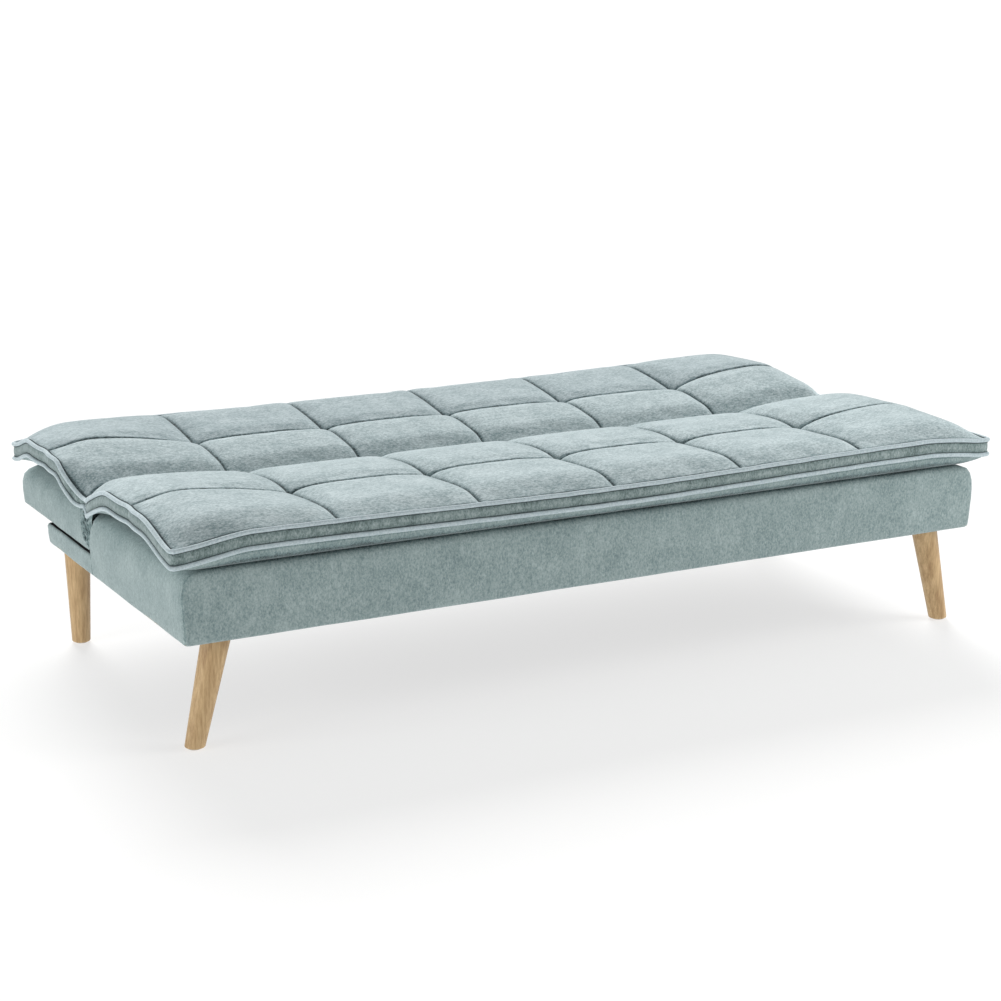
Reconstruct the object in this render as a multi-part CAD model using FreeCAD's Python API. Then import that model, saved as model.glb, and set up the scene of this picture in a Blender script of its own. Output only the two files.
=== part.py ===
import FreeCAD, Part
import math
import os

# Click-clack futon sofa bed, laid flat as a bed. Millimetres.
# Origin: centre of the outline, on the floor. +X runs along the length, +Y towards the backrest, +Z up.
# "right" pieces lie at +X and "left" pieces are their mirror images.

V = FreeCAD.Vector

# ---- outline ----
box_length = 1760.0
seat_box_depth = 511.0
back_box_depth = 431.0
box_gap = 8.0
mattress_end_overhang = 25.0
mattress_front_overhang = 20.0
mattress_rear_overhang = 10.0
underside_height = 211.0
seat_box_height = 139.0
ledge_depth = 281.0
ledge_height = 43.0
ledge_clearance = 8.0

# ---- upholstery ----
border_thickness = 5.0
deck_pad_thickness = 25.0
deck_edge_radius = 20.0
dust_cover_thickness = 2.0
dust_cover_margin = 10.0
ledge_cover_thickness = 3.0
back_panel_thickness = 3.0
mattress_thickness = 82.0
mattress_edge_radius = 25.0
mattress_corner_radius = 30.0
soft_clearance = 0.5
crease_half_width = 14.0
crease_lean = 41.0

# ---- timber ----
rail_thickness = 20.0
bearer_width = 22.0
bearer_offset = 290.0
seat_bearer_height = 60.0
back_bearer_height = 36.0
leg_block_size = 85.0
leg_block_height = 30.0

# ---- legs ----
leg_top_diameter = 54.0
leg_foot_diameter = 37.5
leg_foot_rounding = 3.0
front_leg_splay = 13.3
front_leg_to_end_rail = 58.0
front_leg_to_rail = 27.0
rear_leg_splay = 0.0
rear_leg_to_end_rail = 26.0
rear_leg_to_rail = 12.0
glide_diameter = 25.0
glide_thickness = 2.5
hanger_bolt_diameter = 8.0
hanger_bolt_in_leg = 38.0
hanger_bolt_in_block = 24.0
tee_nut_flange_diameter = 19.0
tee_nut_flange_thickness = 1.6
tee_nut_barrel_diameter = 10.5
tee_nut_barrel_length = 11.0
bolt_tip_clearance = 1.0
fixing_clearance = 0.1

# ---- sinuous springs ----
spring_count = 7
spring_wire_diameter = 3.8
spring_pitch = 33.0
spring_half_width = 22.0
spring_top_clearance = 0.6
clip_width = 16.0
clip_reach = 8.0
clip_height = 7.6

# ---- click-clack hinge ----
pivot_below_deck = 5.0
hinge_plate_thickness = 3.0
hinge_plate_gap = 0.5
hinge_eye_radius = 11.0
hinge_eye_to_rail = 1.8
pivot_pin_radius = 5.0
pivot_head_radius = 8.0
rivet_head_thickness = 2.0
running_clearance = 0.05
axial_clearance = 0.3
ratchet_radius = 26.0
ratchet_start_angle = 182.0
ratchet_end_angle = 312.0
ratchet_step = 16.0
ratchet_positions = 6
notch_depth = 4.5
notch_half_angle = 5.2
pawl_angle = 270.0
pawl_arm_length = 26.0
pawl_tip_radius = 1.5
pawl_boss_radius = 6.0
pawl_nose_height = 3.5
pawl_nose_flare = 1.5
pawl_arm_depth = 3.5
pawl_clearance = 0.5
pawl_pin_radius = 3.0
pawl_pin_head_radius = 5.0
pawl_spring_wire_radius = 0.9
pawl_spring_coil_radius = 4.3
pawl_spring_turns = 2
seat_plate_reach = 78.0
seat_plate_height = 36.0
back_plate_reach = 82.0
back_plate_height = 44.0
back_arm_width = 16.0
back_arm_shoulder_angle = 45.0
plate_corner_radius = 5.0
screw_diameter = 4.5
screw_head_diameter = 9.0
screw_head_height = 2.5
screw_length = 17.0
screw_edge_distance = 9.0
hinge_pocket_width = 16.0
hinge_pocket_margin = 11.0

# ---- tolerance when an edge is looked up by its place ----
near = 1.0

# ---- worked out from the sizes above ----
half_box = box_length / 2
half_mattress = half_box + mattress_end_overhang
total_depth = mattress_front_overhang + seat_box_depth + box_gap + back_box_depth + mattress_rear_overhang
mattress_front = -total_depth / 2
mattress_rear = total_depth / 2
seat_front = mattress_front + mattress_front_overhang
seat_rear = seat_front + seat_box_depth
back_front = seat_rear + box_gap
back_rear = back_front + back_box_depth
ledge_rear = seat_rear + ledge_depth
deck_top = underside_height + seat_box_height
rail_top = deck_top - deck_pad_thickness
frame_bottom = underside_height + dust_cover_thickness
ledge_top = underside_height + ledge_height
runner_top = ledge_top - ledge_cover_thickness
back_bottom = ledge_top + ledge_clearance
back_frame_bottom = back_bottom + back_panel_thickness
rail_outer = half_box - border_thickness
rail_inner = rail_outer - rail_thickness
frame_front = seat_front + border_thickness
frame_step = seat_rear - border_thickness
frame_rear = ledge_rear - border_thickness
back_frame_front = back_front + border_thickness
back_frame_rear = back_rear - border_thickness

pivot_y = seat_rear + box_gap / 2
pivot_z = deck_top - pivot_below_deck
back_plate_outer = rail_inner
back_plate_inner = rail_inner - hinge_plate_thickness
seat_plate_inner = rail_inner + hinge_plate_gap
seat_plate_outer = seat_plate_inner + hinge_plate_thickness
pawl_tip_distance = ratchet_radius + pawl_clearance + pawl_tip_radius
pawl_z = pivot_z - pawl_tip_distance
pawl_pin_y = pivot_y - pawl_arm_length
pocket_inner = seat_plate_outer + axial_clearance - hinge_pocket_width
pocket_outer = seat_plate_outer + rivet_head_thickness + axial_clearance
pocket_front = pawl_pin_y - hinge_pocket_margin
pocket_bottom = pawl_z - hinge_pocket_margin


def block(x0, x1, y0, y1, z0, z1):
    """An upright box between two corners."""
    return Part.makeBox(x1 - x0, y1 - y0, z1 - z0, V(x0, y0, z0))


def rod(radius, start, end):
    """A cylinder from one point to another."""
    axis = end - start
    return Part.makeCylinder(radius, axis.Length, start, axis)


def mirrored(shape):
    """The left-hand copy of a right-hand piece."""
    return shape.mirror(V(0, 0, 0), V(1, 0, 0))


def both_sides(shape):
    """A right-hand piece and its left-hand copy, as separate solids of one node."""
    return Part.makeCompound([shape, mirrored(shape)])


def save(name, shape):
    shape.exportStep("parts/" + name + ".step")


def save_pair(name, shape):
    save(name + "_right", shape)
    save(name + "_left", mirrored(shape))


def plate(outline, x0, thickness):
    """A flat plate in the YZ plane, from x0 outwards, from a closed list of (y, z) corners."""
    points = [V(x0, y, z) for y, z in outline]
    face = Part.Face(Part.makePolygon(points + points[:1]))
    return face.extrude(V(thickness, 0, 0))


def across(radius, y, z, x0, x1):
    """A rod along X at one place in the YZ plane."""
    return rod(radius, V(x0, y, z), V(x1, y, z))


def hinge_pocket():
    """The room that the hinge needs at the rear right corner of the seat."""
    return block(pocket_inner, pocket_outer, pocket_front, seat_rear, pocket_bottom, deck_top)


# ---- legs and what holds them ----
def leg_axis(to_end_rail, edge_y, splay):
    """Top centre, foot centre and upward direction of a right-hand leg."""
    lean = math.tan(math.radians(splay))
    top = V(rail_inner - to_end_rail, edge_y, underside_height)
    foot = V(top.x + lean * underside_height, edge_y, 0)
    return top, foot, (top - foot).normalize()


def leg(top, foot, up):
    """A tapered round leg, cut level at the top, with a rounded foot and a blind hole for its bolt."""
    spare = leg_top_diameter
    length = (top - foot).Length
    slope = (leg_top_diameter - leg_foot_diameter) / 2 / length
    foot_radius = leg_foot_diameter / 2 - slope * spare
    top_radius = leg_top_diameter / 2 + slope * spare
    cone = Part.makeCone(foot_radius, top_radius, length + 2 * spare, foot - up * spare, up)
    reach = box_length
    level = block(foot.x - reach, foot.x + reach, foot.y - reach, foot.y + reach, glide_thickness, top.z)
    body = cone.common(level)
    foot_edges = [e for e in body.Edges if e.BoundBox.ZMax < glide_thickness + fixing_clearance]
    body = body.makeFillet(leg_foot_rounding, foot_edges)
    hole_radius = hanger_bolt_diameter / 2 + fixing_clearance
    return body.cut(rod(hole_radius, top - up * hanger_bolt_in_leg, top + up))


def hanger_bolt(top, up):
    radius = hanger_bolt_diameter / 2
    return rod(radius, top - up * (hanger_bolt_in_leg - bolt_tip_clearance), top + up * hanger_bolt_in_block)


def block_passage(top, up):
    """The clearance hole for a hanger bolt through the dust cover and its block, with the tee nut's seat."""
    low = top - up * dust_cover_thickness
    hole = rod(hanger_bolt_diameter / 2 + fixing_clearance, low, top + up * 2 * leg_block_height)
    seat = nut_top(top, up)
    seat_radius = tee_nut_barrel_diameter / 2 + fixing_clearance
    flange_end = seat + up * tee_nut_flange_thickness
    return hole.fuse(rod(seat_radius, seat - up * tee_nut_barrel_length, flange_end))


def nut_top(top, up):
    """Where the tee nut's flange lies: above the block, on the bolt's line."""
    rise = dust_cover_thickness + leg_block_height + tee_nut_flange_diameter / 2 * abs(up.x)
    return top + up * (rise / up.z)


def tee_nut(top, up):
    seat = nut_top(top, up)
    flange = rod(tee_nut_flange_diameter / 2, seat, seat + up * tee_nut_flange_thickness)
    barrel = rod(tee_nut_barrel_diameter / 2, seat - up * tee_nut_barrel_length, seat)
    reach = up * leg_block_height
    bore = rod(hanger_bolt_diameter / 2 + fixing_clearance, seat - reach, seat + reach)
    return flange.fuse(barrel).cut(bore)


def glide(foot):
    return rod(glide_diameter / 2, V(foot.x, foot.y, 0), V(foot.x, foot.y, glide_thickness))


front_rail_inner = frame_front + rail_thickness
mid_rail_front = frame_step - rail_thickness
rear_rail_front = frame_rear - rail_thickness
front_leg = leg_axis(front_leg_to_end_rail, front_rail_inner + front_leg_to_rail, front_leg_splay)
rear_leg = leg_axis(rear_leg_to_end_rail, rear_rail_front - rear_leg_to_rail, rear_leg_splay)


def leg_blocks():
    """Four timber blocks in the corners of the base, drilled for the leg bolts."""
    x0 = rail_inner - leg_block_size
    z1 = frame_bottom + leg_block_height
    front = block(x0, rail_inner, front_rail_inner, front_rail_inner + leg_block_size, frame_bottom, z1)
    rear = block(x0, rail_inner, rear_rail_front - leg_block_size, rear_rail_front, frame_bottom, z1)
    solids = []
    for piece, (top, _, up) in ((front, front_leg), (rear, rear_leg)):
        drilled = piece.cut(block_passage(top, up))
        solids += [drilled, mirrored(drilled)]
    return Part.makeCompound(solids)


def dust_cover():
    """The thin cloth under the base, cut out round each leg bolt."""
    margin = border_thickness + dust_cover_margin
    sheet = block(
        margin - half_box, half_box - margin,
        seat_front + margin, ledge_rear - margin,
        underside_height, frame_bottom,
    )
    for top, _, up in (front_leg, rear_leg):
        hole = block_passage(top, up)
        sheet = sheet.cut(hole).cut(mirrored(hole))
    return sheet


def make_legs():
    bolts = []
    nuts = []
    glides = []
    for place, (top, foot, up) in (("front", front_leg), ("rear", rear_leg)):
        save_pair("leg_" + place, leg(top, foot, up))
        bolts.append(both_sides(hanger_bolt(top, up)))
        nuts.append(both_sides(tee_nut(top, up)))
        glides.append(both_sides(glide(foot)))
    save("hanger_bolts", Part.makeCompound(bolts))
    save("tee_nuts", Part.makeCompound(nuts))
    save("foot_glides", Part.makeCompound(glides))
    save("leg_blocks", leg_blocks())
    save("dust_cover", dust_cover())


# ---- base frame ----
def seat_screw_places():
    """(y, z) of the screws that hold the seat plate."""
    z_middle = rail_top - seat_plate_height / 2
    rise = seat_plate_height / 2 - screw_edge_distance
    y_far = pocket_front - seat_plate_reach + screw_edge_distance
    y_near = pocket_front - screw_edge_distance
    return [(y, z_middle + s * rise) for y in (y_far, y_near) for s in (-1, 1)]


def back_screw_places():
    """(y, z) of the screws that hold the back plate."""
    z_low = back_frame_bottom + screw_edge_distance
    z_high = back_frame_bottom + back_plate_height - screw_edge_distance
    y_near = back_side_front + rail_thickness + screw_edge_distance
    y_far = back_side_front + back_plate_reach - screw_edge_distance
    return [(y, z) for y in (y_near, y_far) for z in (z_low, z_high)]


def screws(places, plate_inner):
    """Pan-head wood screws through a plate into the rail outside it."""
    solids = []
    for y, z in places:
        head = across(screw_head_diameter / 2, y, z, plate_inner - screw_head_height, plate_inner)
        shank = across(screw_diameter / 2, y, z, plate_inner, plate_inner + screw_length)
        screw = head.fuse(shank)
        solids += [screw, mirrored(screw)]
    return Part.makeCompound(solids)


def screw_holes(shape, places, x0, x1):
    for y, z in places:
        shape = shape.cut(across(screw_diameter / 2 + fixing_clearance, y, z, x0, x1))
    return shape


def seat_side_rail():
    """The seat's end rail, with a shallow recess that lets the hinge plate in flush."""
    rail = block(rail_inner, rail_outer, frame_front, frame_step, runner_top, rail_top)
    recess_front = pocket_front - seat_plate_reach - fixing_clearance
    recess_bottom = rail_top - seat_plate_height - fixing_clearance
    recess = block(rail_inner, seat_plate_outer, recess_front, frame_step, recess_bottom, rail_top)
    rail = rail.cut(recess)
    head_room = pawl_pin_head_radius + axial_clearance
    pin_room = across(head_room, pawl_pin_y, pawl_z, rail_inner, pocket_outer)
    return screw_holes(rail.cut(pin_room), seat_screw_places(), rail_inner, rail_outer)


def make_base_frame():
    runner = block(rail_inner, rail_outer, frame_front, frame_rear, frame_bottom, runner_top)
    save_pair("base_runner", runner)
    save_pair("seat_side_rail", seat_side_rail())
    span = (-rail_inner, rail_inner)
    save("seat_front_rail", block(*span, frame_front, front_rail_inner, frame_bottom, rail_top))
    mid_rail = block(*span, mid_rail_front, frame_step, frame_bottom, rail_top)
    pocket = hinge_pocket()
    save("seat_mid_rail", mid_rail.cut(pocket).cut(mirrored(pocket)))
    save("base_rear_rail", block(*span, rear_rail_front, frame_rear, frame_bottom, runner_top))
    x0 = bearer_offset - bearer_width / 2
    x1 = bearer_offset + bearer_width / 2
    seat_bearer_top = frame_bottom + seat_bearer_height
    seat_bearer = block(x0, x1, front_rail_inner, mid_rail_front, frame_bottom, seat_bearer_top)
    save("seat_bearers", both_sides(seat_bearer))
    ledge_bearer = block(x0, x1, frame_step, rear_rail_front, frame_bottom, runner_top)
    save("ledge_bearers", both_sides(ledge_bearer))


# ---- back frame ----
back_side_front = pivot_y + hinge_eye_radius + hinge_eye_to_rail
back_lower_rail_end = back_plate_inner - axial_clearance
back_lower_rail_rear = back_frame_front + rail_thickness
back_upper_rail_front = back_frame_rear - rail_thickness


def make_back_frame():
    low = back_frame_bottom
    side = block(rail_inner, rail_outer, back_side_front, back_frame_rear, low, rail_top)
    save_pair("back_side_rail", screw_holes(side, back_screw_places(), rail_inner, rail_outer))
    end = back_lower_rail_end
    save("back_lower_rail", block(-end, end, back_frame_front, back_lower_rail_rear, low, rail_top))
    upper = block(-rail_inner, rail_inner, back_upper_rail_front, back_frame_rear, low, rail_top)
    save("back_upper_rail", upper)
    x0 = bearer_offset - bearer_width / 2
    x1 = bearer_offset + bearer_width / 2
    top = low + back_bearer_height
    bearer = block(x0, x1, back_lower_rail_rear, back_upper_rail_front, low, top)
    save("back_bearers", both_sides(bearer))


# ---- springs under the two decks ----
spring_z = rail_top - spring_top_clearance - spring_wire_diameter / 2


def sinuous_spring(x, y0, y1):
    """One zigzag wire from y0 to y1: straight bars along X joined by half circles."""
    bars = 2 * round((y1 - y0) / spring_pitch / 2)
    pitch = (y1 - y0) / bars
    edges = []
    side = 1
    for i in range(bars + 1):
        y = y0 + i * pitch
        start = V(x - side * spring_half_width, y, spring_z)
        end = V(x + side * spring_half_width, y, spring_z)
        edges.append(Part.makeLine(start, end))
        if i < bars:
            crown = V(end.x + side * pitch / 2, y + pitch / 2, spring_z)
            edges.append(Part.Arc(end, crown, V(end.x, y + pitch, spring_z)).toShape())
        side = -side
    start = V(x - spring_half_width, y0, spring_z)
    section = Part.Wire(Part.makeCircle(spring_wire_diameter / 2, start, V(1, 0, 0)))
    return Part.Wire(edges).makePipeShell([section], True, True)


def spring_clip(x, rail_face, direction):
    """A small steel clip on a rail's face, bored along X for the wire's end bar."""
    far = rail_face + direction * clip_reach
    low = min(rail_face, far)
    z0 = spring_z - clip_height / 2
    body = block(x - clip_width / 2, x + clip_width / 2, low, low + clip_reach, z0, z0 + clip_height)
    middle = (rail_face + far) / 2
    hole_radius = spring_wire_diameter / 2 + fixing_clearance
    body = body.cut(across(hole_radius, middle, spring_z, x - clip_width, x + clip_width))
    return body.common(block(-half_box, half_box, low, low + clip_reach, z0, rail_top))


def make_springs(name, face0, face1):
    """A row of sinuous springs and their clips between two facing rails."""
    spacing = 2 * rail_inner / spring_count
    places = [(i - (spring_count - 1) / 2) * spacing for i in range(spring_count)]
    inset = clip_reach / 2
    wires = [sinuous_spring(x, face0 + inset, face1 - inset) for x in places]
    clips = [spring_clip(x, face0, 1) for x in places] + [spring_clip(x, face1, -1) for x in places]
    save(name + "_springs", Part.makeCompound(wires))
    save(name + "_spring_clips", Part.makeCompound(clips))


# ---- click-clack hinge ----
def seat_plate():
    """Fixed plate: screwed flange, eye for the pivot pin and lug for the pawl pin."""
    low = rail_top - seat_plate_height
    eye = hinge_eye_radius
    outline = [
        (pocket_front - seat_plate_reach, low),
        (pocket_front, low),
        (pivot_y, pawl_z - pawl_boss_radius),
        (pivot_y + eye, pivot_z),
        (pivot_y, pivot_z + eye),
        (pocket_front, rail_top),
        (pocket_front - seat_plate_reach, rail_top),
    ]
    shape = plate(outline, seat_plate_inner, hinge_plate_thickness)
    shape = shape.fuse(across(eye, pivot_y, pivot_z, seat_plate_inner, seat_plate_outer))
    shape = shape.removeSplitter()
    shape = shape.cut(across(pivot_pin_radius, pivot_y, pivot_z, seat_plate_inner, seat_plate_outer))
    shape = shape.cut(across(pawl_pin_radius, pawl_pin_y, pawl_z, seat_plate_inner, seat_plate_outer))
    return screw_holes(shape, seat_screw_places(), seat_plate_inner, seat_plate_outer)


def ratchet_point(radius, angle):
    a = math.radians(angle)
    return (pivot_y + radius * math.cos(a), pivot_z + radius * math.sin(a))


def ratchet_sector():
    """A part of a disc round the pivot."""
    angles = [ratchet_start_angle, (ratchet_start_angle + ratchet_end_angle) / 2, ratchet_end_angle]
    a, b, c = [V(back_plate_inner, *ratchet_point(ratchet_radius, t)) for t in angles]
    centre = V(back_plate_inner, pivot_y, pivot_z)
    edges = [Part.Arc(a, b, c).toShape(), Part.makeLine(c, centre), Part.makeLine(centre, a)]
    return Part.Face(Part.Wire(edges)).extrude(V(hinge_plate_thickness, 0, 0))


def back_plate():
    """Moving plate: toothed sector round the pivot and a flange that is screwed to the back's end rail."""
    outer = back_plate_outer
    eye = across(hinge_eye_radius, pivot_y, pivot_z, back_plate_inner, outer)
    root = ratchet_point(ratchet_radius, ratchet_end_angle)
    flange_top = back_frame_bottom + back_plate_height
    outline = [
        (pivot_y, pivot_z - hinge_eye_radius),
        root,
        (back_side_front, root[1] - back_arm_width),
        (back_side_front, back_frame_bottom + plate_corner_radius),
        (back_side_front + back_plate_reach, back_frame_bottom + plate_corner_radius),
        (back_side_front + back_plate_reach, flange_top),
        (back_side_front + back_arm_width, rail_top),
        ratchet_point(hinge_eye_radius, back_arm_shoulder_angle),
    ]
    arm = plate(outline, back_plate_inner, hinge_plate_thickness)
    shape = eye.fuse(ratchet_sector()).fuse(arm).removeSplitter()
    shape = shape.cut(across(pivot_pin_radius + running_clearance, pivot_y, pivot_z, back_plate_inner, outer))
    for i in range(ratchet_positions):
        angle = pawl_angle - i * ratchet_step
        notch = [
            ratchet_point(ratchet_radius + notch_depth, angle - 2 * notch_half_angle),
            ratchet_point(ratchet_radius - notch_depth, angle - notch_half_angle),
            ratchet_point(ratchet_radius - notch_depth, angle + notch_half_angle),
            ratchet_point(ratchet_radius + notch_depth, angle + 2 * notch_half_angle),
        ]
        shape = shape.cut(plate(notch, back_plate_inner, hinge_plate_thickness))
    return screw_holes(shape, back_screw_places(), back_plate_inner, outer)


def pawl():
    """A rocking arm from its pin to an upright nose that lifts into the ratchet's notches."""
    x0 = back_plate_inner
    x1 = back_plate_outer
    tip = pawl_tip_radius
    root = tip + pawl_nose_flare
    nose = across(tip, pivot_y, pawl_z, x0, x1)
    boss = across(pawl_boss_radius, pawl_pin_y, pawl_z, x0, x1)
    arm_top = pawl_z - pawl_nose_height
    outline = [
        (pawl_pin_y, pawl_z + tip),
        (pivot_y - root, arm_top),
        (pivot_y - tip, pawl_z),
        (pivot_y + tip, pawl_z),
        (pivot_y + root, arm_top - pawl_arm_depth),
        (pawl_pin_y, pawl_z - pawl_boss_radius),
    ]
    arm = plate(outline, x0, hinge_plate_thickness)
    body = arm.fuse(boss).fuse(nose).removeSplitter()
    return body.cut(across(pawl_pin_radius + running_clearance, pawl_pin_y, pawl_z, x0, x1))


def riveted_pin(radius, head_radius, y, z, tail):
    """A shouldered pin fixed in the seat plate; tail is the length left free inside the moving plate."""
    inner = back_plate_inner - axial_clearance - tail
    shank = across(radius, y, z, inner, seat_plate_outer)
    inner_head = across(head_radius, y, z, inner - rivet_head_thickness, inner)
    outer_head = across(head_radius, y, z, seat_plate_outer, seat_plate_outer + rivet_head_thickness)
    return shank.fuse(inner_head).fuse(outer_head)


def pawl_spring():
    """A small torsion spring on the pawl's pin."""
    pitch = 2 * pawl_spring_wire_radius + fixing_clearance
    length = pitch * pawl_spring_turns
    helix = Part.makeHelix(pitch, length, pawl_spring_coil_radius)
    start = V(pawl_spring_coil_radius, 0, 0)
    section = Part.Wire(Part.makeCircle(pawl_spring_wire_radius, start, V(0, 1, 0)))
    coil = Part.Wire(helix).makePipeShell([section], True, True)
    coil.rotate(V(0, 0, 0), V(0, 1, 0), -90)
    inset = axial_clearance + pawl_spring_wire_radius
    coil.translate(V(back_plate_inner - inset, pawl_pin_y, pawl_z))
    return coil


def make_hinges():
    spring_room = (2 * pawl_spring_wire_radius + fixing_clearance) * (pawl_spring_turns + 1)
    save_pair("hinge_seat_plate", seat_plate())
    save_pair("hinge_back_plate", back_plate())
    pivot_pin = riveted_pin(pivot_pin_radius, pivot_head_radius, pivot_y, pivot_z, 0)
    save_pair("hinge_pivot_pin", pivot_pin)
    save_pair("pawl", pawl())
    pawl_pin = riveted_pin(pawl_pin_radius, pawl_pin_head_radius, pawl_pin_y, pawl_z, spring_room)
    save("pawl_pins", both_sides(pawl_pin))
    save("pawl_springs", both_sides(pawl_spring()))
    save("hinge_seat_screws", screws(seat_screw_places(), seat_plate_inner))
    save("hinge_back_screws", screws(back_screw_places(), back_plate_inner))


# ---- upholstery ----
def deck_pad(y0, y1):
    """A foam pad over one deck, rounded along its top edges."""
    pad = block(-half_box, half_box, y0, y1, rail_top, deck_top)
    edges = [e for e in pad.Edges if e.BoundBox.ZMin > deck_top - near]
    return pad.makeFillet(deck_edge_radius, edges)


def mattress_half(outer_y, side):
    """One half of the quilted mattress, leaning back from the crease so that the halves can fold together."""
    z0 = deck_top + soft_clearance
    z1 = z0 + mattress_thickness
    crease = pivot_y + side * crease_half_width
    lean = math.tan(math.radians(crease_lean)) * mattress_thickness
    profile = [(crease, z0), (outer_y, z0), (outer_y, z1), (crease + side * lean, z1)]
    slab = plate(profile, -half_mattress, 2 * half_mattress)
    outer = [e for e in slab.Edges if abs(e.CenterOfMass.y - outer_y) < near]
    upright = [e for e in outer if e.BoundBox.ZLength > mattress_thickness / 2]
    slab = slab.makeFillet(mattress_corner_radius, upright)
    rims = [e for e in slab.Edges if is_rim(e, side, crease + side * lean)]
    return slab.makeFillet(mattress_edge_radius, rims)


def is_rim(edge, side, crease_top):
    """True for a level edge of a mattress half that isn't along its crease."""
    past_crease = side * (edge.CenterOfMass.y - crease_top) > near
    return edge.BoundBox.ZLength < near and past_crease


def make_upholstery():
    low = underside_height
    inner = half_box - border_thickness
    sides = (inner, half_box)
    ledge_side = block(*sides, seat_rear, ledge_rear, low, runner_top)
    save("seat_border_front", block(-inner, inner, seat_front, frame_front, low, rail_top))
    save_pair("seat_border", block(*sides, seat_front, seat_rear, low, rail_top))
    save("seat_border_rear", block(-pocket_inner, pocket_inner, frame_step, seat_rear, ledge_top, rail_top))
    save_pair("ledge_border", ledge_side)
    save("ledge_border_rear", block(-inner, inner, frame_rear, ledge_rear, low, runner_top))
    save("ledge_cover", block(-half_box, half_box, seat_rear, ledge_rear, runner_top, ledge_top))
    pocket = hinge_pocket()
    save("seat_deck_pad", deck_pad(seat_front, seat_rear).cut(pocket).cut(mirrored(pocket)))
    save("seat_mattress", mattress_half(mattress_front, -1))
    back_low = back_bottom
    save_pair("back_border", block(*sides, back_front, back_rear, back_low, rail_top))
    save("back_border_top", block(-inner, inner, back_frame_rear, back_rear, back_low, rail_top))
    front = block(-pocket_inner, pocket_inner, back_front, back_frame_front, back_low, rail_top)
    save("back_border_bottom", front)
    panel = block(-inner, inner, back_frame_front, back_frame_rear, back_low, back_frame_bottom)
    save("back_panel", panel)
    save("back_deck_pad", back_deck_pad())
    save("back_mattress", mattress_half(mattress_rear, 1))


def back_deck_pad():
    """The back's deck pad, cut away at the two hinges."""
    rear = back_side_front + back_arm_width + axial_clearance
    pocket = block(pocket_inner, pocket_outer, back_front, rear, rail_top, deck_top)
    return deck_pad(back_front, back_rear).cut(pocket).cut(mirrored(pocket))


os.makedirs("parts", exist_ok=True)
make_legs()
make_base_frame()
make_back_frame()
make_springs("seat", front_rail_inner, mid_rail_front)
make_springs("back", back_lower_rail_rear, back_upper_rail_front)
make_hinges()
make_upholstery()
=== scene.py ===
# %% [markdown]
# # A quilted futon sofa bed
#
# The sofa bed is shown lying flat. Its timber frame, springs, hinges and legs come ready made from the CAD
# model. This lesson adds what a maker would call the upholstery: a quilted mattress in two halves that share
# one crease, the piping round it, and the cloth that covers the three boxes below. It then gives every piece
# a surface, and sets up a plain studio.

# %% Load the frame
import math

import bmesh
import bpy
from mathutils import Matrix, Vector, noise


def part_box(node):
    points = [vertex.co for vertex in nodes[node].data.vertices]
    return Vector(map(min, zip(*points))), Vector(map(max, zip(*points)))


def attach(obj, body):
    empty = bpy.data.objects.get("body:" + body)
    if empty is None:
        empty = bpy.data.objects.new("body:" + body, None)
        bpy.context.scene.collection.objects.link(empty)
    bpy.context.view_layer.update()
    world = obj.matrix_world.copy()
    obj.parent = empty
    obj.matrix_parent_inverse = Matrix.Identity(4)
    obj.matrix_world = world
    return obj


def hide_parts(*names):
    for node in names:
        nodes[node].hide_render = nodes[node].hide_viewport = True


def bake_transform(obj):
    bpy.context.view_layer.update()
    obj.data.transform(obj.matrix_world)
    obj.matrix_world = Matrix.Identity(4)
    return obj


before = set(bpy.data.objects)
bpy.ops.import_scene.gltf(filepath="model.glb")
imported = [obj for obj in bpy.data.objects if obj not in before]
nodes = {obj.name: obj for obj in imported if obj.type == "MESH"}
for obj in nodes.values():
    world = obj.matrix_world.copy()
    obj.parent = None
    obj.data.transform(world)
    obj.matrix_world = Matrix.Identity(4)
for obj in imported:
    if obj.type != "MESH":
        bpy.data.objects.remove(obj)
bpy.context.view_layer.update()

MM = 0.001
scene = bpy.context.scene
print("pieces in the frame:", len(nodes))

# %% [markdown]
# ## The sizes to build to
#
# The outlines of the pieces come from the boxes of the CAD nodes, so that the cloth lands on its frame. The
# fold joint gives the line that the backrest turns about. Lengths are in metres, and heights count from the
# floor.

# %% Sizes of the mattress, the boxes and the hinge line
seat_low, seat_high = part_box("seat_mattress")
half_length = seat_high.x
front_edge = seat_low.y
rear_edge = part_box("back_mattress")[1].y
box_top = seat_low.z

# %% [markdown]
# ## Camera and light
#
# A long lens from the front left and a little above shows the quilting, the front and one end. The studio is
# a white room with a wide skylight above and behind the sofa bed, a little to the right. The tops are then the
# lightest surfaces and the front is darkest, and every seam shows, because the slope on its near side turns
# away from the light. A window at the front right makes the right half a little lighter, and a weak soft box
# lifts the left end. The floor is a pale sheet of lit acrylic, which keeps the shadow under the sofa bed light
# and lifts the front from below.

# %% Camera
camera_data = bpy.data.cameras.new("studio_camera")
camera_data.sensor_width = 36.0
camera_data.lens = 84.9
camera_data.clip_end = 200.0
camera = bpy.data.objects.new("studio_camera", camera_data)
camera.location = (-2.254, -4.256, 1.512)
camera.rotation_euler = (math.radians(90.0 - 14.49), 0.0, math.radians(-27.97))
scene.collection.objects.link(camera)
scene.camera = camera
scene.view_settings.view_transform = "Standard"
print("camera", round(camera.location.length, 2), "m from the middle of the floor below the sofa bed")

# %% [markdown]
# The skylight is a sun lamp with a wide disc, so its shadows are soft. The two soft boxes are area lamps, and
# the white room is the even colour of the world, which fills in whatever the lamps don't reach.

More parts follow.
